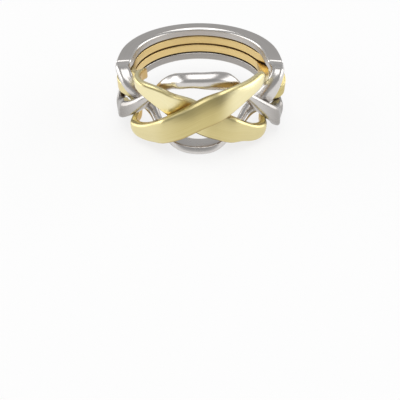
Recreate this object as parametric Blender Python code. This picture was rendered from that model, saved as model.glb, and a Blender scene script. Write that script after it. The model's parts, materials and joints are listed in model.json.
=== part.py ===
"""Four-band woven ring puzzle: two nickel-finished bands and two brass-finished bands.

Every band is one cast loop. Over the back it is a flat washer, the shank, and the four shanks lie
in a stack. Over the front it is a strand that climbs, falls and passes over and under the others.
An angle of 0 is the middle of the front (-Y), and angles grow towards +X. Each section lies in
the half-plane at its angle, so two bands are clear of each other when their sections are.
"""

import math

import bmesh
import bpy
import numpy as np
from mathutils import Vector

MM = 0.001

# Bore and shanks
BORE_RADIUS = 14.6 * MM
SHANK_WALL = 3.4 * MM
BAND_HEIGHT = 1.8 * MM
BAND_GAP = 0.32 * MM
SHANK_EDGE = 0.35 * MM

# Places of the shanks in the stack, in pitches from its middle
OUTER_LEVEL = 1.5
INNER_LEVEL = 0.5

# Strands of the weave: walls, rounding and the air between two strands that cross
WEAVE_BORE_RADIUS = 12.8 * MM
SILVER_SIDE_WALL = 3.0 * MM
SILVER_WALL = 2.4 * MM
SILVER_EDGE = 0.85 * MM
SILVER_CROWN = 0.1 * MM
GOLD_WALL = 2.4 * MM
GOLD_SIDE_WALL = 2.0 * MM
GOLD_BACK_WALL = 1.6 * MM
GOLD_EDGE = 0.5 * MM
GOLD_CROWN = 0.3 * MM
PASS_GAP = 0.42 * MM

# How far the weave rises and falls from the middle of the stack, and the heights of the strands
WEAVE_RISE = 8.4 * MM
SILVER_ARC = 1.8 * MM
SILVER_BAR = 2.3 * MM
SILVER_ARCH = 2.4 * MM
SILVER_DIVE = 2.7 * MM
SILVER_STRAP = 3.5 * MM
SILVER_BLOCK = 4.3 * MM
SILVER_DROP = 4.8 * MM
GOLD_RIBBON = 6.3 * MM
GOLD_ARM = 5.3 * MM
GOLD_TAPER = 4.0 * MM
GOLD_TIP = 2.6 * MM
GOLD_NECK = 2.0 * MM

# Radii the strands tend to: under another strand, over it, and where they run alone
UNDER_RADIUS = 14.1 * MM
OVER_RADIUS = 17.3 * MM
FRONT_UNDER_RADIUS = 15.3 * MM
FRONT_OVER_RADIUS = 18.4 * MM
ARC_RADIUS = 17.3 * MM
ARCH_RADIUS = 15.8 * MM
SHOULDER_RADIUS = 16.6 * MM
END_RADIUS = 19.0 * MM

# Fineness of the sweep
STEPS = 180
STEPS_PER_SHANK_STATION = 3
GENTLE_PASSES = 9
STEEP_PASSES = 4
CORNER_POINTS = 3
EASE = 14.0
EDGE_SHARE = 0.45
HUNDREDTHS = 100
CREASE = math.radians(40.0)

# Seating of the strands: how firmly a section keeps its radius, how taut a loop is, and the solver
STRAND_HOLD = 0.03
SHANK_HOLD = 10.0
TENSION = 0.03
STEP_PULL = 0.5
ROUNDS = 1500
LEVEL_CLEARANCE = 0.8 * BAND_GAP

HALF_TURN = 180.0
QUARTER_TURN = 90.0
STEP_ANGLE = 2 * HALF_TURN / STEPS
ANGLES = -HALF_TURN + STEP_ANGLE * np.arange(STEPS)
SHANK_RADIUS = BORE_RADIUS + SHANK_WALL / 2
PITCH = BAND_HEIGHT + BAND_GAP
Z_AXIS = Vector((0.0, 0.0, 1.0))

# The bands fan open about a line along X, just inside the front of the weave
PIVOT = Vector((0.0, -WEAVE_BORE_RADIUS, 0.0))


def along(places, values, passes):
    """Values at every angle of the sweep, from values at a few places, eased round their corners."""
    curve = np.interp(ANGLES, places, values, period=2 * HALF_TURN)
    for _ in range(passes):
        curve = (np.roll(curve, 1) + 2 * curve + np.roll(curve, -1)) / 4
    return curve


class Band:
    """One loop, from its level in the stack and the stations of its strand.

    A station is an angle, how far the strand's middle lies above the middle of the stack in
    hundredths of WEAVE_RISE, its height from edge to edge, its wall and the radius it tends to.
    A strand keeps the height of its shank at a station that gives no rise.
    """

    def __init__(self, name, level, stations, passes, edge, crown, colour, roughness):
        shank = (level * PITCH, BAND_HEIGHT, SHANK_WALL, SHANK_RADIUS)
        start, end = stations[0][0] - EASE, stations[-1][0] + EASE
        strand = [
            (angle, level * PITCH if rise is None else rise * WEAVE_RISE / HUNDREDTHS, *sizes)
            for angle, rise, *sizes in stations
        ]
        places, *columns = zip((start, *shank), *strand, (end, *shank))
        self.name = name
        runs = (along(places, column, passes) for column in columns)
        self.height, self.depth, self.wall, self.wanted = runs
        self.free = (ANGLES > start - EASE) & (ANGLES < end + EASE)
        woven = along(places, [0.0, *[1.0] * len(stations), 0.0], passes)
        self.edge = SHANK_EDGE + (edge - SHANK_EDGE) * woven
        self.crown = crown * woven
        self.bore = BORE_RADIUS + (WEAVE_BORE_RADIUS - BORE_RADIUS) * woven
        self.colour = colour
        self.roughness = roughness
        self.radius = self.wanted


UPPER_SILVER = Band(
    "upper_silver_band",
    level=OUTER_LEVEL,
    stations=[
        (-75, None, BAND_HEIGHT, SILVER_SIDE_WALL, SHOULDER_RADIUS),
        (-70, 35, SILVER_BAR, SILVER_SIDE_WALL, SHOULDER_RADIUS),
        (-65, 24, SILVER_DIVE, SILVER_SIDE_WALL, SHOULDER_RADIUS),
        (-60, 7, SILVER_DIVE, SILVER_WALL, SHOULDER_RADIUS),
        (-56, -12, SILVER_DIVE, SILVER_WALL, FRONT_UNDER_RADIUS),
        (-52, -29, SILVER_DIVE, SILVER_WALL, UNDER_RADIUS),
        (-45, -48, SILVER_DIVE, SILVER_WALL, UNDER_RADIUS),
        (-36, -67, SILVER_BAR, SILVER_WALL, FRONT_UNDER_RADIUS),
        (-27, -81, SILVER_BAR, SILVER_WALL, FRONT_UNDER_RADIUS),
        (-17, -93, SILVER_ARC, SILVER_SIDE_WALL, ARC_RADIUS),
        (-7, -100, SILVER_ARC, SILVER_SIDE_WALL, ARC_RADIUS),
        (7, -100, SILVER_ARC, SILVER_SIDE_WALL, ARC_RADIUS),
        (17, -93, SILVER_ARC, SILVER_SIDE_WALL, ARC_RADIUS),
        (27, -81, SILVER_BAR, SILVER_WALL, FRONT_UNDER_RADIUS),
        (36, -67, SILVER_BAR, SILVER_WALL, FRONT_UNDER_RADIUS),
        (44, -51, SILVER_DIVE, SILVER_WALL, UNDER_RADIUS),
        (49, -40, SILVER_DIVE, SILVER_WALL, UNDER_RADIUS),
        (54, -32, SILVER_STRAP, SILVER_WALL, FRONT_UNDER_RADIUS),
        (58, -15, SILVER_BLOCK, SILVER_WALL, OVER_RADIUS),
        (62, 10, SILVER_DROP, SILVER_WALL, FRONT_OVER_RADIUS),
        (66, 30, SILVER_BLOCK, SILVER_WALL, FRONT_OVER_RADIUS),
        (70, 37, SILVER_DIVE, SILVER_SIDE_WALL, OVER_RADIUS),
        (75, None, BAND_HEIGHT, SILVER_SIDE_WALL, OVER_RADIUS),
    ],
    passes=STEEP_PASSES,
    edge=SILVER_EDGE,
    crown=SILVER_CROWN,
    colour=(0.42, 0.41, 0.41),
    roughness=0.32,
)
LOWER_SILVER = Band(
    "lower_silver_band",
    level=-OUTER_LEVEL,
    stations=[
        (-81, None, BAND_HEIGHT, SILVER_SIDE_WALL, OVER_RADIUS),
        (-75, -52, SILVER_STRAP, SILVER_SIDE_WALL, OVER_RADIUS),
        (-70, -57, SILVER_BLOCK, SILVER_SIDE_WALL, OVER_RADIUS),
        (-64, -54, SILVER_BLOCK, SILVER_SIDE_WALL, OVER_RADIUS),
        (-58, -43, SILVER_STRAP, SILVER_WALL, OVER_RADIUS),
        (-52, -29, SILVER_STRAP, SILVER_WALL, OVER_RADIUS),
        (-46, -11, SILVER_STRAP, SILVER_WALL, FRONT_UNDER_RADIUS),
        (-40, 8, SILVER_DIVE, SILVER_WALL, UNDER_RADIUS),
        (-34, 31, SILVER_DIVE, SILVER_WALL, FRONT_UNDER_RADIUS),
        (-28, 51, SILVER_STRAP, SILVER_WALL, FRONT_UNDER_RADIUS),
        (-21, 61, SILVER_DIVE, SILVER_WALL, FRONT_UNDER_RADIUS),
        (-13, 74, SILVER_ARCH, SILVER_WALL, ARCH_RADIUS),
        (-5, 77, SILVER_ARCH, SILVER_WALL, ARCH_RADIUS),
        (5, 77, SILVER_ARCH, SILVER_WALL, ARCH_RADIUS),
        (13, 78, SILVER_ARCH, SILVER_WALL, ARCH_RADIUS),
        (21, 69, SILVER_DIVE, SILVER_WALL, FRONT_UNDER_RADIUS),
        (28, 55, SILVER_STRAP, SILVER_WALL, FRONT_UNDER_RADIUS),
        (34, 31, SILVER_DIVE, SILVER_WALL, FRONT_UNDER_RADIUS),
        (40, 8, SILVER_DIVE, SILVER_WALL, FRONT_UNDER_RADIUS),
        (46, -14, SILVER_STRAP, SILVER_WALL, OVER_RADIUS),
        (51, -32, SILVER_STRAP, SILVER_WALL, OVER_RADIUS),
        (58, -56, SILVER_BLOCK, SILVER_WALL, OVER_RADIUS),
        (66, -73, SILVER_BLOCK, SILVER_SIDE_WALL, OVER_RADIUS),
        (73, -71, SILVER_BLOCK, SILVER_SIDE_WALL, OVER_RADIUS),
        (80, -56, SILVER_STRAP, SILVER_SIDE_WALL, OVER_RADIUS),
        (86, None, BAND_HEIGHT, SILVER_SIDE_WALL, OVER_RADIUS),
    ],
    passes=GENTLE_PASSES,
    edge=SILVER_EDGE,
    crown=SILVER_CROWN,
    colour=(0.42, 0.41, 0.41),
    roughness=0.32,
)
UPPER_GOLD = Band(
    "upper_gold_band",
    level=INNER_LEVEL,
    stations=[
        (-78, None, BAND_HEIGHT, GOLD_BACK_WALL, FRONT_UNDER_RADIUS),
        (-72, None, BAND_HEIGHT, GOLD_BACK_WALL, UNDER_RADIUS),
        (-66, 24, GOLD_NECK, GOLD_BACK_WALL, UNDER_RADIUS),
        (-60, 39, GOLD_TIP, GOLD_SIDE_WALL, UNDER_RADIUS),
        (-54, 49, GOLD_TIP, GOLD_WALL, UNDER_RADIUS),
        (-48, 55, GOLD_TIP, GOLD_WALL, OVER_RADIUS),
        (-42, 57, GOLD_TIP, GOLD_WALL, FRONT_OVER_RADIUS),
        (-37, 56, GOLD_TIP, GOLD_WALL, END_RADIUS),
        (-31, 46, GOLD_TAPER, GOLD_WALL, FRONT_OVER_RADIUS),
        (-24, 26, GOLD_ARM, GOLD_WALL, OVER_RADIUS),
        (-13, -5, GOLD_RIBBON, GOLD_SIDE_WALL, FRONT_UNDER_RADIUS),
        (-1, -27, GOLD_RIBBON, GOLD_SIDE_WALL, FRONT_UNDER_RADIUS),
        (9, -38, GOLD_RIBBON, GOLD_SIDE_WALL, OVER_RADIUS),
        (18, -39, GOLD_RIBBON, GOLD_SIDE_WALL, FRONT_OVER_RADIUS),
        (25, -48, GOLD_ARM, GOLD_SIDE_WALL, FRONT_OVER_RADIUS),
        (32, -61, GOLD_TAPER, GOLD_SIDE_WALL, FRONT_OVER_RADIUS),
        (40, -71, GOLD_TIP, GOLD_SIDE_WALL, FRONT_OVER_RADIUS),
        (47, -75, GOLD_TIP, GOLD_SIDE_WALL, END_RADIUS),
        (54, -80, GOLD_TIP, GOLD_SIDE_WALL, END_RADIUS),
        (59, -81, GOLD_NECK, GOLD_BACK_WALL, OVER_RADIUS),
        (63, -69, GOLD_NECK, GOLD_BACK_WALL, FRONT_UNDER_RADIUS),
        (67, -51, GOLD_NECK, GOLD_BACK_WALL, FRONT_UNDER_RADIUS),
        (71, -35, GOLD_NECK, GOLD_BACK_WALL, FRONT_UNDER_RADIUS),
        (76, -21, GOLD_NECK, GOLD_BACK_WALL, FRONT_OVER_RADIUS),
        (82, -8, GOLD_NECK, GOLD_BACK_WALL, FRONT_OVER_RADIUS),
        (88, 5, BAND_HEIGHT, GOLD_BACK_WALL, OVER_RADIUS),
        (96, None, BAND_HEIGHT, GOLD_BACK_WALL, OVER_RADIUS),
    ],
    passes=GENTLE_PASSES,
    edge=GOLD_EDGE,
    crown=GOLD_CROWN,
    colour=(0.72, 0.60, 0.24),
    roughness=0.35,
)
LOWER_GOLD = Band(
    "lower_gold_band",
    level=-INNER_LEVEL,
    stations=[
        (-75, None, BAND_HEIGHT, GOLD_WALL, FRONT_UNDER_RADIUS),
        (-70, -24, GOLD_NECK, GOLD_SIDE_WALL, FRONT_UNDER_RADIUS),
        (-66, -48, GOLD_NECK, GOLD_SIDE_WALL, UNDER_RADIUS),
        (-62, -69, GOLD_NECK, GOLD_SIDE_WALL, FRONT_UNDER_RADIUS),
        (-59, -81, GOLD_TIP, GOLD_SIDE_WALL, OVER_RADIUS),
        (-55, -81, GOLD_TIP, GOLD_SIDE_WALL, END_RADIUS),
        (-47, -74, GOLD_TIP, GOLD_SIDE_WALL, END_RADIUS),
        (-40, -69, GOLD_TIP, GOLD_SIDE_WALL, FRONT_OVER_RADIUS),
        (-32, -61, GOLD_TAPER, GOLD_SIDE_WALL, FRONT_OVER_RADIUS),
        (-24, -44, GOLD_ARM, GOLD_SIDE_WALL, FRONT_OVER_RADIUS),
        (-15, -31, GOLD_RIBBON, GOLD_SIDE_WALL, FRONT_OVER_RADIUS),
        (-8, -19, GOLD_RIBBON, GOLD_SIDE_WALL, FRONT_OVER_RADIUS),
        (0, 4, GOLD_RIBBON, GOLD_SIDE_WALL, FRONT_OVER_RADIUS),
        (9, 27, GOLD_RIBBON, GOLD_SIDE_WALL, FRONT_OVER_RADIUS),
        (18, 43, GOLD_ARM, GOLD_SIDE_WALL, FRONT_OVER_RADIUS),
        (25, 54, GOLD_TAPER, GOLD_SIDE_WALL, FRONT_OVER_RADIUS),
        (32, 62, GOLD_TIP, GOLD_SIDE_WALL, FRONT_OVER_RADIUS),
        (40, 64, GOLD_TIP, GOLD_SIDE_WALL, OVER_RADIUS),
        (48, 58, GOLD_TIP, GOLD_BACK_WALL, OVER_RADIUS),
        (54, 48, GOLD_TIP, GOLD_BACK_WALL, OVER_RADIUS),
        (59, 29, GOLD_NECK, GOLD_BACK_WALL, FRONT_UNDER_RADIUS),
        (64, 18, GOLD_NECK, GOLD_BACK_WALL, FRONT_UNDER_RADIUS),
        (71, 8, GOLD_NECK, GOLD_BACK_WALL, FRONT_UNDER_RADIUS),
        (78, 1, GOLD_NECK, GOLD_BACK_WALL, FRONT_UNDER_RADIUS),
        (85, -7, BAND_HEIGHT, GOLD_BACK_WALL, FRONT_UNDER_RADIUS),
        (93, None, BAND_HEIGHT, GOLD_BACK_WALL, FRONT_UNDER_RADIUS),
    ],
    passes=GENTLE_PASSES,
    edge=GOLD_EDGE,
    crown=GOLD_CROWN,
    colour=(0.72, 0.60, 0.24),
    roughness=0.35,
)
BANDS = [UPPER_SILVER, UPPER_GOLD, LOWER_GOLD, LOWER_SILVER]

# Which band passes outside which, up to and beyond an angle where the two lie well apart
PASSES = [
    (UPPER_SILVER, UPPER_GOLD, -HALF_TURN, 0),
    (UPPER_GOLD, UPPER_SILVER, 0, HALF_TURN),
    (LOWER_GOLD, UPPER_SILVER, -HALF_TURN, 0),
    (UPPER_SILVER, LOWER_GOLD, 0, HALF_TURN),
    (LOWER_SILVER, UPPER_SILVER, -HALF_TURN, HALF_TURN),
    (UPPER_GOLD, LOWER_SILVER, -HALF_TURN, 0),
    (LOWER_SILVER, UPPER_GOLD, 0, HALF_TURN),
    (LOWER_SILVER, LOWER_GOLD, -HALF_TURN, 0),
    (LOWER_GOLD, LOWER_SILVER, 0, HALF_TURN),
    (LOWER_GOLD, UPPER_GOLD, -HALF_TURN, 45),
    (UPPER_GOLD, LOWER_GOLD, 45, HALF_TURN),
]


def seat_bands():
    """Finds the stiffest loops that clear the bore and pass each other with PASS_GAP to spare."""
    count = len(BANDS) * STEPS
    index = {band: number * STEPS + np.arange(STEPS) for number, band in enumerate(BANDS)}
    bend = np.zeros((count, count))
    for places in index.values():
        bend[places, places] = -2.0
        bend[places, np.roll(places, 1)] = 1.0
        bend[places, np.roll(places, -1)] = 1.0
    hold = np.concatenate([np.where(band.free, STRAND_HOLD, SHANK_HOLD) for band in BANDS])
    rows, least = [], []
    for band, places in index.items():
        for step, place in enumerate(places):
            row = np.zeros(count)
            row[place] = 1.0
            rows.append(row)
            least.append(band.bore[step] + band.wall[step] / 2)
    for over, under, start, end in PASSES:
        apart = np.abs(over.height - under.height)
        reach = (over.depth + under.depth) / 2 + LEVEL_CLEARANCE
        meets = (apart < reach) & (ANGLES >= start) & (ANGLES < end)
        for step in np.flatnonzero(meets):
            row = np.zeros(count)
            row[index[over][step]] = 1.0
            row[index[under][step]] = -1.0
            rows.append(row)
            least.append((over.wall[step] + under.wall[step]) / 2 + PASS_GAP)
    rows, least = np.array(rows), np.array(least) / MM
    wanted = np.concatenate([band.wanted for band in BANDS]) / MM
    stiffness = bend.T @ bend - TENSION * bend + np.diag(hold)
    inverse = np.linalg.inv(stiffness + STEP_PULL * rows.T @ rows)
    slack, drift = least.copy(), np.zeros(len(least))
    for _ in range(ROUNDS):
        radius = inverse @ (hold * wanted + STEP_PULL * rows.T @ (slack - drift))
        slack = np.maximum(least, rows @ radius + drift)
        drift += rows @ radius - slack
    for band, places in index.items():
        band.radius = radius[places] * MM


def section(band, step):
    """Outline of a band in its half-plane: (radius, height) points round a crowned, rounded bar."""
    half_wall = band.wall[step] / 2
    half_depth = band.depth[step] / 2
    edge = min(band.edge[step], EDGE_SHARE * band.depth[step], EDGE_SHARE * band.wall[step])
    crown = band.crown[step]
    outer = half_wall - crown - edge
    corners = [
        (outer, -half_depth + edge),
        (outer, half_depth - edge),
        (-half_wall + edge, half_depth - edge),
        (-half_wall + edge, -half_depth + edge),
    ]
    points = []
    for number, (across, up) in enumerate(corners):
        end = number * QUARTER_TURN
        for turn in np.linspace(end - QUARTER_TURN, end, CORNER_POINTS):
            bend = math.radians(turn)
            points.append((across + edge * math.cos(bend), up + edge * math.sin(bend)))
        if number == 0:
            points.append((half_wall, 0.0))
    centre = np.array([band.radius[step], band.height[step]])
    return centre + np.array(points)


def band_mesh(band):
    """The band's sections, set round the bore and skinned into one closed loop about the pivot."""
    loft = bmesh.new()
    loops = []
    for step, angle in enumerate(ANGLES):
        if not band.free[step] and step % STEPS_PER_SHANK_STATION:
            continue
        turn = math.radians(angle)
        outward = Vector((math.sin(turn), -math.cos(turn), 0.0))
        loops.append([loft.verts.new(r * outward + Z_AXIS * z - PIVOT) for r, z in section(band, step)])
    for loop, following in zip(loops, loops[1:] + loops[:1]):
        for place, corner in enumerate(loop):
            beside = (place + 1) % len(loop)
            loft.faces.new((corner, following[place], following[beside], loop[beside]))
    bmesh.ops.recalc_face_normals(loft, faces=loft.faces)
    mesh = bpy.data.meshes.new(band.name)
    loft.to_mesh(mesh)
    loft.free()
    mesh.shade_smooth()
    mesh.set_sharp_from_angle(angle=CREASE)
    return mesh


def finish(name, colour, roughness):
    material = bpy.data.materials.new(name)
    material.use_nodes = True
    shader = material.node_tree.nodes["Principled BSDF"]
    shader.inputs["Base Color"].default_value = (*colour, 1.0)
    shader.inputs["Metallic"].default_value = 1.0
    shader.inputs["Roughness"].default_value = roughness
    return material


for old in list(bpy.data.objects):
    bpy.data.objects.remove(old, do_unlink=True)
puzzle = bpy.data.collections.new("woven_ring_puzzle")
bpy.context.scene.collection.children.link(puzzle)

seat_bands()
for band in BANDS:
    loop = bpy.data.objects.new(band.name, band_mesh(band))
    loop.data.materials.append(finish(band.name + "_finish", band.colour, band.roughness))
    puzzle.objects.link(loop)

# The puzzle stands over the origin, which lies under the middle of its box
corners = np.array([vertex.co for loop in puzzle.objects for vertex in loop.data.vertices])
low, high = corners.min(axis=0), corners.max(axis=0)
for loop in puzzle.objects:
    loop.location = (-(low[0] + high[0]) / 2, -(low[1] + high[1]) / 2, -low[2])
print("OK")
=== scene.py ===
import json
import math

import bpy
import numpy as np
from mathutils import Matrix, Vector

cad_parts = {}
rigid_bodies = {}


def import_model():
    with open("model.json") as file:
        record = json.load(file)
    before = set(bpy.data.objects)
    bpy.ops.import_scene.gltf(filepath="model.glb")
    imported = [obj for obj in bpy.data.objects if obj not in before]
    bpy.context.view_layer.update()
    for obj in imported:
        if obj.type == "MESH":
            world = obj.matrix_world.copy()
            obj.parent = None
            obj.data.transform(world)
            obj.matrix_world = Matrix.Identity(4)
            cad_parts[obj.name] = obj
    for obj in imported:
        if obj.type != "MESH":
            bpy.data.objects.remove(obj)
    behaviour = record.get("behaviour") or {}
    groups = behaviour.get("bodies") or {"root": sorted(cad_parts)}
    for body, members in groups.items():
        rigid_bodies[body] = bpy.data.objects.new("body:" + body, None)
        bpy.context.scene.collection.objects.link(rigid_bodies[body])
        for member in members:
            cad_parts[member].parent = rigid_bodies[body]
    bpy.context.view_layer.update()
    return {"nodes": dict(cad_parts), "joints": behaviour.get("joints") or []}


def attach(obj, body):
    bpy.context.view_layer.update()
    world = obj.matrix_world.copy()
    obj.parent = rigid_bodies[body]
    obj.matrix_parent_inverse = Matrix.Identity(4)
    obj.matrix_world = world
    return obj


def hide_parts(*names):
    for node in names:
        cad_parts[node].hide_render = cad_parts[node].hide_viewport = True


for old in list(bpy.data.objects):
    bpy.data.objects.remove(old)
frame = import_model()


# Lower silver band: the bottom loop of the stack, one zinc casting, tumbled and plated with nickel.
# Its shank is a flat washer. Its front climbs from a broad block on each side, behind the brass
# ribbons, and runs over the middle as a round bar.
MM = 0.001
WEAVE_BORE = 12.8 * MM
HINGE = Vector(frame["joints"][0]["pos_m"])
BORE_AXIS = HINGE + Vector((0.0, WEAVE_BORE, 0.0))

# Degrees round the bore: from one section of a packed band to the next, and over a soft change.
STATION = 2.0
STATIONS = 180
FINER = 4
HALF_TURN = STATION * STATIONS / 2
TURNS = np.radians(-HALF_TURN + STATION / FINER * np.arange(STATIONS * FINER))
SOFT_CHANGE = 6.0
SOFT_PASSES = 2

# A section's corner sweeps a right angle on a strand, and less on a shank, which makes it a bevel.
# The shares are of the wall or the depth: the largest edge, the inner side and the underside. The brass is
# painted with shade on the inner side and the underside.
RIGHT_ANGLE = 90.0
BEVEL_FLATNESS = 22.0
CORNER_POINTS = 7
FACE_POINTS = (0.05, 0.18, 0.34, 0.5, 0.66, 0.82, 0.95)
MOST_EDGE = 0.49
INNER_SHARE = 0.4
UNDER_SHARE = 0.88


def finer(values):
    """Values between the stations, on a smooth curve through them."""
    before, after, beyond = (np.roll(values, shift) for shift in (1, -1, -2))
    between = []
    for share in np.arange(FINER) / FINER:
        square = share * share
        bend = 2 * before - 5 * values + 4 * after - beyond
        twist = 3 * values - before - 3 * after + beyond
        rise = (after - before) / 2 * share
        between.append(values + rise + bend / 2 * square + twist / 2 * square * share)
    return np.stack(between, axis=1).ravel()


def run_of(cad):
    """A packed band's run round the bore: middle radius, middle height, wall and depth by angle."""
    places = np.array([vertex.co for vertex in cad.data.vertices]) - np.array(BORE_AXIS)
    radii = np.hypot(places[:, 0], places[:, 1])
    turns = np.degrees(np.arctan2(places[:, 0], -places[:, 1]))
    stations = np.round((turns + HALF_TURN) / STATION).astype(int) % STATIONS
    kept = np.unique(stations)
    spans = []
    for values in (radii, places[:, 2]):
        low = np.array([values[stations == station].min() for station in kept])
        high = np.array([values[stations == station].max() for station in kept])
        spans += [(low + high) / 2, high - low]
    radius, wall, height, depth = (
        finer(np.interp(np.arange(STATIONS), kept, span, period=STATIONS)) for span in spans
    )
    return radius, height, wall, depth


def by_angle(*stations):
    """A value at every angle round the ring, from pairs of an angle and a value, with soft changes."""
    turns, values = zip(*stations)
    eased = np.interp(np.degrees(TURNS), turns, values)
    reach = int(SOFT_CHANGE / STATION * FINER / 2)
    window = np.ones(2 * reach + 1) / (2 * reach + 1)
    for _ in range(SOFT_PASSES):
        lapped = np.concatenate([eased[-reach:], eased, eased[:reach]])
        eased = np.convolve(lapped, window, mode="valid")
    return eased


def section_of(half_wall, half_depth, edges, half_sweep):
    """A band's section, its corners rounded or bevelled, and how far each point is on an edge."""
    most = MOST_EDGE * 2 * min(half_wall, half_depth)
    outline, on_edge, ends = [], [], []
    for quarter, (side, level) in enumerate(((1, -1), (1, 1), (-1, 1), (-1, -1))):
        edge = min(edges[quarter], most)
        slant = math.radians(RIGHT_ANGLE * quarter - RIGHT_ANGLE / 2)
        bow = edge / math.sqrt(2.0) / math.sin(half_sweep)
        back = edge / math.sqrt(2.0) * (1.0 + 1.0 / math.tan(half_sweep))
        inset = back * np.array((math.cos(slant), math.sin(slant)))
        middle = np.array((side * half_wall, level * half_depth)) - inset
        for share in np.linspace(-1.0, 1.0, CORNER_POINTS):
            turn = slant + share * half_sweep
            outline.append(middle + bow * np.array((math.cos(turn), math.sin(turn))))
            on_edge.append(min(1.0, 2.0 * (1.0 - abs(share))))
        ends.append(len(outline))
        outline += [None] * len(FACE_POINTS)
        on_edge += [0.0] * len(FACE_POINTS)
    for end in ends:
        begin, following = outline[end - 1], outline[(end + len(FACE_POINTS)) % len(outline)]
        for number, share in enumerate(FACE_POINTS):
            outline[end + number] = begin + share * (following - begin)
    return np.array(outline), on_edge


def cast_band(name, cad, woven, painted_light, edges, crown, lean, score=(), score_reach=0.0, **fettled):
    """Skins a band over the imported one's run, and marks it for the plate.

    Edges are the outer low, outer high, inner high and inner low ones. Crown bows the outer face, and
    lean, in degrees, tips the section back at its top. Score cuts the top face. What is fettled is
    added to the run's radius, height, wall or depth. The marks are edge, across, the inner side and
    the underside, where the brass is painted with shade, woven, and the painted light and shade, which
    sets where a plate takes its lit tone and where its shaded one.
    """
    run = dict(zip(("radius", "height", "wall", "depth"), run_of(cad)))
    for size, change in fettled.items():
        run[size] = run[size] + change
    slope = np.tan(np.radians(lean))
    rings = []
    marks = {"edge": [], "across": [], "inside": [], "under": []}
    for step, turn in enumerate(TURNS):
        half_wall, half_depth = run["wall"][step] / 2, run["depth"][step] / 2
        half_sweep = math.radians(RIGHT_ANGLE / 2 - BEVEL_FLATNESS * (1.0 - woven[step]))
        outline, on_edge = section_of(half_wall, half_depth, [edge[step] for edge in edges], half_sweep)
        outward = (outline[:, 0] + half_wall) / (2 * half_wall)
        bulge = crown[step] * outward * (outline[:, 1] / half_depth) ** 2
        outline[:, 0] -= bulge + slope[step] * outline[:, 1]
        if step in score:
            outline[outline[:, 1] > half_depth - score_reach, 1] -= score[step]
        out, up = run["radius"][step] + outline[:, 0], run["height"][step] + outline[:, 1]
        ring = np.stack([out * math.sin(turn), -out * math.cos(turn), up], axis=1)
        rings.append(np.array(BORE_AXIS) + ring)
        along = np.concatenate([[0.0], np.cumsum(np.hypot(*np.diff(outline, axis=0).T))])
        below = (-outline[:, 1] / half_depth - UNDER_SHARE) / (1.0 - UNDER_SHARE)
        marks["edge"] += on_edge
        marks["across"] += list(along / MM)
        marks["inside"] += list(np.clip(1.0 - outward / INNER_SHARE, 0.0, 1.0))
        marks["under"] += list(np.clip(below, 0.0, 1.0))
    count = len(rings[0])
    marks |= {"woven": np.repeat(woven, count), "painted_light": np.repeat(painted_light, count)}
    faces = []
    for step in range(len(rings)):
        here, ahead = step * count, (step + 1) % len(rings) * count
        for place in range(count):
            beside = (place + 1) % count
            faces.append((here + place, ahead + place, ahead + beside, here + beside))
    mesh = bpy.data.meshes.new(name)
    mesh.from_pydata(np.concatenate(rings).tolist(), [], faces)
    mesh.shade_smooth()
    for label, values in marks.items():
        attribute = mesh.attributes.new(label, "FLOAT", "POINT")
        attribute.data.foreach_set("value", np.array(values, dtype=np.float32))
    band = bpy.data.objects.new(name, mesh)
    bpy.context.scene.collection.objects.link(band)
    return band


def linear(code):
    """Linear colour of an sRGB hex code."""
    light = []
    for place in (1, 3, 5):
        share = int(code[place:place + 2], 16) / 255
        light.append(share / 12.92 if share <= 0.04045 else ((share + 0.055) / 1.055) ** 2.4)
    return (*light, 1.0)


def add(tree, kind, links=(), **settings):
    """A shader node with its settings, and with values or links for its sockets."""
    made = tree.nodes.new("ShaderNode" + kind)
    for name, value in settings.items():
        setattr(made, name, value)
    for socket, source in dict(links).items():
        if isinstance(source, bpy.types.NodeSocket):
            tree.links.new(source, made.inputs[socket])
        else:
            made.inputs[socket].default_value = source
    return made


# Nickel plate on tumbled zinc. The shanks keep the fine grain of the belt and are rougher than the
# bars, which come out of the tumbler smoother. The tone is painted lighter or darker from place to
# place as painted light and shade, darkest on the side blocks of the lower band and lightest on the
# bars, and the bevels of the shanks take the lightest tone, partly rubbed and partly a painted highlight.
# The belt's grain is a few hundredths of a millimetre wide, and is drawn at 0.3 mm so that it shows.
GRAIN_MM = 0.3
GRAIN_DEPTH = 0.02 * MM
LAY_MM = 15.0
PATCH_MM = 3.0
PATCH_DETAIL = 3.0
LAY_SCALE = 1 / (LAY_MM * MM)
PATCH_SCALE = 1 / (PATCH_MM * MM)
GRAINS_PER_LAY = 1 / (GRAIN_MM * LAY_SCALE)
BELT_DETAIL = 2.0
BELT_RELIEF = 0.15
SHANK_ROUGHNESS = 0.3
BAR_ROUGHNESS = 0.24
BEVEL_POLISH = -0.12
TUMBLED_PATCHES = 0.08
nickel = bpy.data.materials.new("tumbled_nickel_plate")
nickel.use_nodes = True
tree = nickel.node_tree
shader = tree.nodes["Principled BSDF"]
shader.inputs["Metallic"].default_value = 1.0
place = add(tree, "TexCoord").outputs["Object"]
edge, across, woven, painted_light = (
    add(tree, "Attribute", attribute_name=label).outputs["Fac"]
    for label in ("edge", "across", "woven", "painted_light")
)
grain_place = add(tree, "Math", {0: across, 1: GRAINS_PER_LAY}, operation="MULTIPLY").outputs[0]
grain = add(
    tree, "TexNoise", {"Vector": place, "W": grain_place, "Scale": LAY_SCALE, "Detail": BELT_DETAIL},
    noise_dimensions="4D",
).outputs["Fac"]
patch = add(
    tree, "TexNoise", {"Vector": place, "Scale": PATCH_SCALE, "Detail": PATCH_DETAIL},
).outputs["Fac"]
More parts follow.
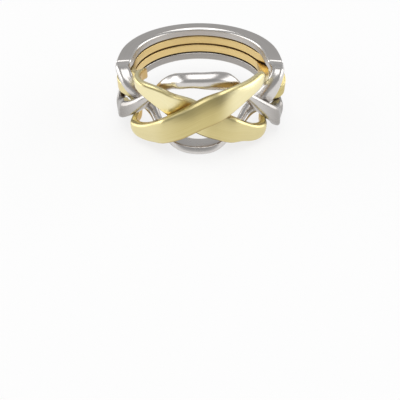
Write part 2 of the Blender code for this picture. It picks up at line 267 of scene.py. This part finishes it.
# A shaded and a lit tone of the same nickel, mixed below by the painted light and shade.
shaded_tone = add(
    tree, "MixRGB", {"Fac": grain, "Color1": linear("#96928E"), "Color2": linear("#A4A09C")},
).outputs[0]
lit_tone = add(
    tree, "MixRGB", {"Fac": grain, "Color1": linear("#D3CFCC"), "Color2": linear("#DEDBD8")},
).outputs[0]
face_tone = add(tree, "MixRGB", {"Fac": painted_light, "Color1": shaded_tone, "Color2": lit_tone}).outputs[0]
# The shank bevels take a lighter tone, partly from rubbing and partly a painted highlight.
shank = add(tree, "Math", {0: 1.0, 1: woven}, operation="SUBTRACT").outputs[0]
bevel = add(tree, "Math", {0: edge, 1: shank}, operation="MULTIPLY").outputs[0]
tone = add(tree, "MixRGB", {"Fac": bevel, "Color1": face_tone, "Color2": linear("#E6E3E0")})
tree.links.new(tone.outputs[0], shader.inputs["Base Color"])
satin = add(
    tree, "MapRange", {"Value": woven, "To Min": SHANK_ROUGHNESS, "To Max": BAR_ROUGHNESS},
).outputs[0]
rubbed = add(tree, "Math", {0: bevel, 1: BEVEL_POLISH, 2: satin}, operation="MULTIPLY_ADD").outputs[0]
uneven = add(tree, "Math", {0: patch, 1: TUMBLED_PATCHES, 2: rubbed}, operation="MULTIPLY_ADD")
tree.links.new(uneven.outputs[0], shader.inputs["Roughness"])
relief = add(tree, "Bump", {"Height": grain, "Strength": BELT_RELIEF, "Distance": GRAIN_DEPTH})
tree.links.new(relief.outputs[0], shader.inputs["Normal"])

# The casting. Its blocks are trimmed and tipped back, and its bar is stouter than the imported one.
round_edge = MM * by_angle(
    (-95, 0.3), (-80, 0.9), (-58, 1.0), (-42, 1.15), (-28, 1.45),
    (28, 1.45), (42, 1.15), (56, 0.9), (82, 0.9), (98, 0.3)
)
seat_edge = MM * by_angle(
    (-95, 0.1), (-80, 0.4), (-58, 0.6), (-42, 1.15), (-28, 1.45),
    (28, 1.45), (42, 1.15), (56, 0.6), (82, 0.4), (98, 0.1)
)
lower_silver = cast_band(
    "lower_silver_loop", frame["nodes"]["lower_silver_band"],
    woven=by_angle((-90, 0.0), (-78, 1.0), (78, 1.0), (92, 0.0)),
    # Painted light and shade round the band: at 1 the lit tone, at 0 the shaded one.
    painted_light=by_angle(
        (-100, 0.2), (-76, 0.0), (-58, 0.0), (-46, 0.7), (-30, 1.0),
        (30, 1.0), (46, 0.7), (57, 0.0), (76, 0.0), (100, 0.2)
    ),
    edges=(round_edge, round_edge, seat_edge, round_edge),
    crown=MM * by_angle((-95, 0.0), (-80, 0.2), (-50, 0.25), (50, 0.25), (80, 0.2), (98, 0.0)),
    lean=by_angle(
        (-92, 0.0), (-80, 14.0), (-66, 14.0), (-56, 8.0), (-45, 0.0),
        (42, 0.0), (54, 8.0), (72, 8.0), (90, 0.0)
    ),
    radius=MM * by_angle(
        (-95, 0.0), (-80, 0.55), (-66, 0.55), (-58, 0.0), (-32, 0.0), (-26, 0.3), (-20, 0.7), (-14, 0.45),
        (-4, -0.25), (22, -0.25), (34, 0.0), (64, 0.0), (70, -0.2), (80, -0.2), (92, 0.0)
    ),
    wall=MM * by_angle(
        (-95, 0.0), (-80, -1.1), (-66, -1.1), (-58, 0.0), (-34, 0.0), (-20, 0.5),
        (22, 0.5), (34, 0.0), (64, 0.0), (70, -0.6), (80, -0.6), (92, 0.0)
    ),
    height=MM * by_angle(
        (-94, 0.0), (-84, -0.4), (-78, -0.8), (-73, -0.6), (-68, 0.0), (-60, 0.2), (-54, 0.0), (-32, 0.0),
        (-22, 0.0), (-16, -0.2), (-4, -0.05), (12, -0.5), (20, -0.4), (32, 0.0), (42, 0.0), (52, -0.1),
        (59, -0.4), (66, -0.3), (80, -0.15), (88, -0.35), (97, 0.0)
    ),
    depth=MM * by_angle(
        (-94, 0.0), (-84, -0.8), (-78, -1.6), (-73, -1.2), (-68, 0.4), (-60, 0.4), (-54, 0.0), (-32, 0.0),
        (-22, 0.1), (-16, 0.8), (-4, 0.6), (12, 1.3), (20, 1.1), (32, 0.0), (42, 0.0), (52, 0.2),
        (59, 0.8), (66, 0.5), (72, -1.0), (80, -1.5), (88, -1.1), (97, 0.0)
    ),
)
lower_silver.data.materials.append(nickel)
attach(lower_silver, "lower_silver")
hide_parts("lower_silver_band")


# Lower gold band: the loop that lies over everything at the front, one zinc casting plated with brass.
# Its shank is a flat washer, and its front a broad ribbon from low on the left to high on the right.

# Brass plate, brushed along the ribbon to a pale satin. Its tone is painted lighter or darker along
# the ribbons as painted light and shade, darkest in the middle of the cross, deeper and more orange on
# the inner sides as painted shade, and brown along the underside as painted shade. Its grain is as
# fine as the nickel's, and is drawn as coarse.
BRUSHING = 0.15
BRUSH_DETAIL = 3.0
BRUSH_RELIEF = 0.12
PLATE_ROUGHNESS = 0.24
RIM_ROUGHNESS = 0.04
BRUSHED_PATCHES = 0.14
brass = bpy.data.materials.new("brushed_brass_plate")
brass.use_nodes = True
tree = brass.node_tree
shader = tree.nodes["Principled BSDF"]
shader.inputs["Metallic"].default_value = 1.0
shader.inputs["Anisotropic"].default_value = BRUSHING
place = add(tree, "TexCoord").outputs["Object"]
edge, across, woven, painted_light, inside, under = (
    add(tree, "Attribute", attribute_name=label).outputs["Fac"]
    for label in ("edge", "across", "woven", "painted_light", "inside", "under")
)
grain_place = add(tree, "Math", {0: across, 1: GRAINS_PER_LAY}, operation="MULTIPLY").outputs[0]
grain = add(
    tree, "TexNoise", {"Vector": place, "W": grain_place, "Scale": LAY_SCALE, "Detail": BRUSH_DETAIL},
    noise_dimensions="4D",
).outputs["Fac"]
patch = add(
    tree, "TexNoise", {"Vector": place, "Scale": PATCH_SCALE, "Detail": PATCH_DETAIL},
).outputs["Fac"]
# A shaded and a lit tone of the same brass, mixed below by the painted light and shade.
shaded_plate_tone = add(
    tree, "MixRGB", {"Fac": grain, "Color1": linear("#C2B173"), "Color2": linear("#DACB91")},
).outputs[0]
lit_plate_tone = add(
    tree, "MixRGB", {"Fac": grain, "Color1": linear("#F5E8B2"), "Color2": linear("#FBF3CB")},
).outputs[0]
ribbon_tone = add(tree, "MixRGB", {"Fac": painted_light, "Color1": shaded_plate_tone, "Color2": lit_plate_tone}).outputs[0]
# The inner sides are painted with shade in a deeper orange.
ribbon_tone = add(
    tree, "MixRGB", {"Fac": inside, "Color1": ribbon_tone, "Color2": linear("#CBA658")},
).outputs[0]
shank_tone = add(
    tree, "MixRGB", {"Fac": grain, "Color1": linear("#E4C583"), "Color2": linear("#EED59B")},
).outputs[0]
face_tone = add(tree, "MixRGB", {"Fac": woven, "Color1": shank_tone, "Color2": ribbon_tone}).outputs[0]
outer = add(tree, "Math", {0: 1.0, 1: inside}, operation="SUBTRACT").outputs[0]
rim = add(tree, "Math", {0: edge, 1: outer}, operation="MULTIPLY").outputs[0]
rim_tone = add(
    tree, "MixRGB", {"Fac": rim, "Color1": face_tone, "Color2": linear("#E6D8A0")},
).outputs[0]
# The underside is painted with a brown shade.
tone = add(tree, "MixRGB", {"Fac": under, "Color1": rim_tone, "Color2": linear("#8E6A30")})
tree.links.new(tone.outputs[0], shader.inputs["Base Color"])
satin = add(
    tree, "Math", {0: edge, 1: RIM_ROUGHNESS, 2: PLATE_ROUGHNESS}, operation="MULTIPLY_ADD",
).outputs[0]
uneven = add(tree, "Math", {0: patch, 1: BRUSHED_PATCHES, 2: satin}, operation="MULTIPLY_ADD")
tree.links.new(uneven.outputs[0], shader.inputs["Roughness"])
relief = add(tree, "Bump", {"Height": grain, "Strength": BRUSH_RELIEF, "Distance": GRAIN_DEPTH})
tree.links.new(relief.outputs[0], shader.inputs["Normal"])
lay = add(tree, "Tangent", direction_type="RADIAL", axis="Z")
tree.links.new(lay.outputs[0], shader.inputs["Tangent"])

# The casting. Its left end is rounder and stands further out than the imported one, and the right half
# of its ribbon is thinner and lies lower.
inside_edge = MM * by_angle((-88, 0.2), (-75, 0.5), (95, 0.5), (108, 0.2))
outside_edge = MM * by_angle((-88, 0.15), (-60, 0.5), (-40, 0.55), (38, 0.55), (60, 0.5), (108, 0.15))
under_edge = MM * by_angle(
    (-88, 0.15), (-60, 0.5), (-30, 0.5), (-12, 0.25), (34, 0.25), (48, 0.4), (60, 0.5), (108, 0.15)
)
crest_edge = MM * by_angle(
    (-88, 0.1), (-75, 0.5), (-10, 0.5), (8, 0.9), (44, 0.9), (56, 0.5), (95, 0.5), (108, 0.1)
)
lower_gold = cast_band(
    "lower_gold_loop", frame["nodes"]["lower_gold_band"],
    woven=by_angle((-88, 0.0), (-75, 1.0), (95, 1.0), (108, 0.0)),
    # Painted light and shade round the band: at 1 the lit tone, at 0 the shaded one.
    painted_light=by_angle((-45, 0.6), (-28, 0.55), (-12, 0.1), (11, 0.0), (20, 1.0)),
    edges=(under_edge, outside_edge, crest_edge, inside_edge),
    crown=MM * by_angle((-75, 0.0), (-45, 0.2), (-18, 0.35), (18, 0.35), (28, 0.3), (42, 0.3), (75, 0.0)),
    lean=by_angle(
        (-30, 0.0), (-4, 14.0), (12, 14.0), (21, 6.0), (28, 8.0), (35, 12.0), (42, 10.0), (52, 0.0)
    ),
    radius=MM * by_angle(
        (-98, 0.0), (-86, 0.9), (-78, 1.6), (-74, 1.2), (-68, 0.0), (-60, 0.0), (-54, 0.5), (-42, 0.1),
        (-36, 0.0), (0, 0.0), (12, 0.25), (38, 0.2), (48, 0.0)
    ),
    wall=MM * by_angle(
        (-98, 0.0), (-86, 0.9), (-78, 1.2), (-74, 1.0), (-68, 0.0),
        (0, 0.0), (12, -0.5), (38, -0.4), (48, 0.0)
    ),
    height=MM * by_angle(
        (-92, 0.0), (-78, -0.6), (-72, -0.2), (-66, 0.0), (-60, 0.0), (-53, 0.45), (-47, -0.1),
        (-43, -0.35), (-36, -0.45), (-28, -0.2), (-20, 0.0),
        (13, 0.0), (18, -0.35), (26, -0.6), (36, -0.5), (46, 0.0)
    ),
    depth=MM * by_angle(
        (-92, 0.0), (-78, 1.2), (-72, 0.4), (-66, 0.0), (-60, 0.0), (-53, -0.9), (-47, 0.2),
        (-43, 0.7), (-36, 0.9), (-28, 0.4), (-20, 0.0),
        (-2, -0.5), (12, -0.4), (18, 0.1), (26, 0.5), (36, 0.5), (46, 0.0)
    ),
)
lower_gold.data.materials.append(brass)
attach(lower_gold, "lower_gold")
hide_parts("lower_gold_band")


# Upper gold band: cast and plated as the lower gold one, second in the stack. Its ribbon falls from
# high on the left to low on the right and lies under the other ribbon where they cross. Its left
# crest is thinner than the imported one, and its right end is rounder and stands further out.
inside_edge = MM * by_angle((-90, 0.25), (-77, 0.5), (96, 0.5), (110, 0.25))
outside_edge = MM * by_angle((-90, 0.15), (-60, 0.5), (-40, 0.6), (40, 0.55), (60, 0.5), (110, 0.15))
crest_edge = MM * by_angle(
    (-90, 0.1), (-77, 0.5), (-58, 0.6), (-46, 1.0), (-14, 1.0), (4, 0.6), (96, 0.5), (110, 0.1)
)
upper_gold = cast_band(
    "upper_gold_loop", frame["nodes"]["upper_gold_band"],
    woven=by_angle((-90, 0.0), (-77, 1.0), (96, 1.0), (110, 0.0)),
    # Painted light and shade round the band: at 1 the lit tone, at 0 the shaded one.
    painted_light=by_angle((-22, 1.0), (-10, 0.8), (8, 0.1), (26, 0.35), (45, 0.45), (64, 0.45), (74, 0.0)),
    edges=(outside_edge, outside_edge, crest_edge, inside_edge),
    crown=MM * by_angle((-75, 0.0), (-50, 0.1), (-22, 0.1), (-8, 0.35), (18, 0.35), (45, 0.2), (75, 0.0)),
    lean=by_angle((-52, 0.0), (-40, -3.0), (-22, -3.0), (-4, 14.0), (13, 14.0), (32, 0.0)),
    radius=MM * by_angle(
        (-56, 0.0), (-44, 0.35), (-18, 0.25), (-8, 0.0),
        (36, 0.0), (46, 0.6), (53, 0.7), (59, 0.0), (71, 0.0), (75, 1.3), (79, 1.7), (84, 0.7), (91, 0.0)
    ),
    wall=MM * by_angle(
        (-56, 0.0), (-44, -0.7), (-18, -0.5), (-8, 0.0),
        (71, 0.0), (75, 0.3), (79, 0.5), (84, 0.2), (91, 0.0)
    ),
    height=MM * by_angle(
        (28, 0.0), (35, -0.45), (42, -0.45), (48, 0.05), (53, 0.55), (60, 0.0),
        (70, 0.0), (75, -0.7), (79, -0.9), (85, -0.3), (90, 0.0)
    ),
    depth=MM * by_angle(
        (28, 0.0), (35, 0.9), (42, 0.9), (48, -0.1), (53, -1.1), (60, 0.0),
        (70, 0.0), (75, 1.0), (79, 1.1), (85, 0.3), (90, 0.0)
    ),
)
upper_gold.data.materials.append(brass)
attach(upper_gold, "upper_gold")
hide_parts("upper_gold_band")


# Upper silver band: the top loop, cast and plated as the lower silver one. Its washer ends in a line
# scored across the top face on each side, rolls over into a bright bar that dives behind the ribbons,
# and lies flat again as the arc under the weave.
SCORE_TURN = 81.0
SCORE_DEPTH = 0.3 * MM
SCORE_REACH = 0.35 * MM
SCORE_PROFILE = {-1: 0.5, 0: 1.0, 1: 0.5}
score = {}
for side in (-1, 1):
    middle = int(round((HALF_TURN + side * SCORE_TURN) / STATION * FINER))
    for step, share in SCORE_PROFILE.items():
        score[middle + step] = share * SCORE_DEPTH
inside_edge = MM * by_angle(
    (-150, 0.5), (-108, 0.42), (-84, 0.25), (-70, 0.9), (-30, 1.0), (-16, 0.4),
    (16, 0.4), (30, 1.0), (68, 1.0), (84, 0.25), (108, 0.42), (150, 0.5)
)
seat_edge = MM * by_angle(
    (-80, 0.1), (-70, 0.8), (-30, 1.0), (-16, 0.4), (16, 0.4), (30, 1.0), (68, 0.9), (80, 0.1)
)
outside_edge = MM * by_angle(
    (-80, 0.3), (-70, 1.1), (-30, 1.0), (-16, 0.15), (16, 0.15), (30, 1.0), (68, 1.1), (80, 0.3)
)
under_edge = MM * by_angle(
    (-80, 0.3), (-70, 1.1), (-30, 1.0), (-16, 0.85), (16, 0.85), (30, 1.0), (68, 1.1), (80, 0.3)
)
upper_silver = cast_band(
    "upper_silver_loop", frame["nodes"]["upper_silver_band"],
    woven=by_angle((-80, 0.0), (-72, 1.0), (71, 1.0), (80, 0.0)),
    # Painted light and shade round the band: at 1 the lit tone, at 0 the shaded one.
    painted_light=by_angle(
        (-90, 0.75), (-76, 1.0), (-58, 1.0), (-40, 0.5), (-20, 1.0),
        (20, 1.0), (40, 0.7), (54, 1.0), (76, 1.0), (90, 0.75)
    ),
    edges=(under_edge, outside_edge, inside_edge, seat_edge),
    crown=MM * by_angle((-80, 0.0), (-70, 0.1), (70, 0.1), (80, 0.0)),
    lean=by_angle((-24, 0.0), (-12, 18.0), (12, 18.0), (24, 0.0)),
    score=score, score_reach=SCORE_REACH,
    radius=MM * by_angle((-18, 0.0), (-12, -0.25), (12, -0.25), (18, 0.0)),
    wall=MM * by_angle((-18, 0.0), (-12, 0.5), (12, 0.5), (18, 0.0)),
)
upper_silver.data.materials.append(nickel)
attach(upper_silver, "upper_silver")
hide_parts("upper_silver_band")


# Floor: a sheet of matt white paper, large enough to run past the object in every view. To the camera
# and in the metal three quarters of its tone is plain white and the rest is lit, so that it stays
# white and keeps a soft shadow.
FLOOR_HALF = 6.0
WHITE_SHARE = 0.75
paper = bpy.data.materials.new("matt_white_paper")
paper.use_nodes = True
tree = paper.node_tree
shader = tree.nodes["Principled BSDF"]
shader.inputs["Base Color"].default_value = linear("#FAFAFA")
shader.inputs["Roughness"].default_value = 0.9
shader.inputs["Specular IOR Level"].default_value = 0.1
white = add(tree, "Emission", {"Color": linear("#FFFFFF"), "Strength": 1.0}).outputs[0]
ray = add(tree, "LightPath").outputs
seen = add(tree, "Math", {0: ray["Is Camera Ray"], 1: ray["Is Glossy Ray"]}, operation="MAXIMUM").outputs[0]
seen = add(tree, "Math", {0: seen, 1: ray["Is Transmission Ray"]}, operation="MAXIMUM").outputs[0]
share = add(tree, "Math", {0: seen, 1: WHITE_SHARE}, operation="MULTIPLY").outputs[0]
lit = add(tree, "MixShader", {0: share, 1: shader.outputs[0], 2: white})
tree.links.new(lit.outputs[0], tree.nodes["Material Output"].inputs["Surface"])
sheet = bpy.data.meshes.new("paper_floor")
corners = [(-1, -1), (1, -1), (1, 1), (-1, 1)]
sheet.from_pydata([(x * FLOOR_HALF, y * FLOOR_HALF, 0.0) for x, y in corners], [], [(0, 1, 2, 3)])
sheet.materials.append(paper)
floor = bpy.data.objects.new("paper_floor", sheet)
bpy.context.scene.collection.objects.link(floor)


# Light: a pale room with a wide softbox overhead, a long low one on each side and a faint one behind.
# They stand far off for the size of the ring, so the floor is lit evenly. Each has its name, place,
# width, height and watts.
room = bpy.data.worlds.new("pale_room")
room.use_nodes = True
room.node_tree.nodes["Background"].inputs["Color"].default_value = linear("#A0A0A0")
room.node_tree.nodes["Background"].inputs["Strength"].default_value = 1.0
bpy.context.scene.world = room
SOFTBOXES = [
    ("overhead_softbox", (0.0, -0.15, 1.45), 1.3, 1.7, 11.2),
    ("left_softbox", (-1.0, 0.1, 0.31), 1.5, 0.6, 5.6),
    ("right_softbox", (1.0, 0.1, 0.31), 1.5, 0.6, 5.6),
    ("back_softbox", (0.0, 1.5, 0.8), 2.2, 0.7, 0.9),
]
for name, spot, width, height, watts in SOFTBOXES:
    lamp = bpy.data.lights.new(name, "AREA")
    lamp.shape = "RECTANGLE"
    lamp.size, lamp.size_y = width, height
    lamp.energy = watts
    softbox = bpy.data.objects.new(name, lamp)
    softbox.location = spot
    softbox.rotation_euler = (BORE_AXIS - Vector(spot)).to_track_quat("-Z", "Y").to_euler()
    softbox.visible_camera = False
    bpy.context.scene.collection.objects.link(softbox)


# Camera: in front of the ring and above it, with the ring in the upper half of the frame. Its place,
# pitch and focal length come from a fit to the photograph.
FRAME_PIXELS = 400
FOCAL_PIXELS = 463.7
SENSOR_MM = 36.0
CLIP_START = 1.0 * MM
PITCH = math.radians(43.0)
CAMERA_FROM_BORE = Vector((0.147, -97.23, 50.81)) * MM
view = bpy.data.cameras.new("camera")
view.sensor_width = SENSOR_MM
view.lens = SENSOR_MM * FOCAL_PIXELS / FRAME_PIXELS
view.clip_start = CLIP_START
camera = bpy.data.objects.new("camera", view)
camera.location = BORE_AXIS + CAMERA_FROM_BORE
camera.rotation_euler = (math.pi / 2 - PITCH, 0.0, 0.0)
bpy.context.scene.collection.objects.link(camera)
bpy.context.scene.camera = camera
bpy.context.scene.view_settings.view_transform = "Standard"
